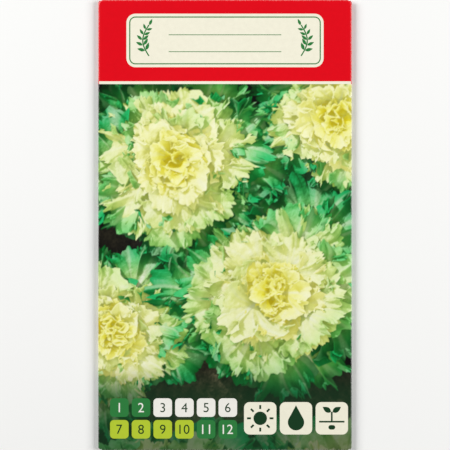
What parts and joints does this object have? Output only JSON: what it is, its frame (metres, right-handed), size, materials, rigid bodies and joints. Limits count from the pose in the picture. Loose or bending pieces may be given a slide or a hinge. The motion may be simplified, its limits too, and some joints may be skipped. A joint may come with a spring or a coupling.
{
  "type": "seed packet",
  "caption": "Flat sealed paper seed packet with folded sides, a glued back lap and glued end flaps, holding a foil sachet of seeds.",
  "frame": {"origin": "under the centre of the packet's outline, on the surface that it lies on", "axes": "+X across the packet to the right of its printed front, +Y up the front towards its top edge, +Z out of the front"},
  "size_m": [0.09, 0.16, 0.0045],
  "materials": {
    "printed_paper": "gloss-coated printed paper, white and uncoated inside",
    "sachet_foil": "satin foil laminate",
    "seed_husk": "matt dry husk"
  },
  "bodies": {
    "root": {"envelope": "printed_paper", "sachet_back": "sachet_foil", "sachet_front": "sachet_foil", "seeds": "seed_husk"}
  },
  "joints": []
}
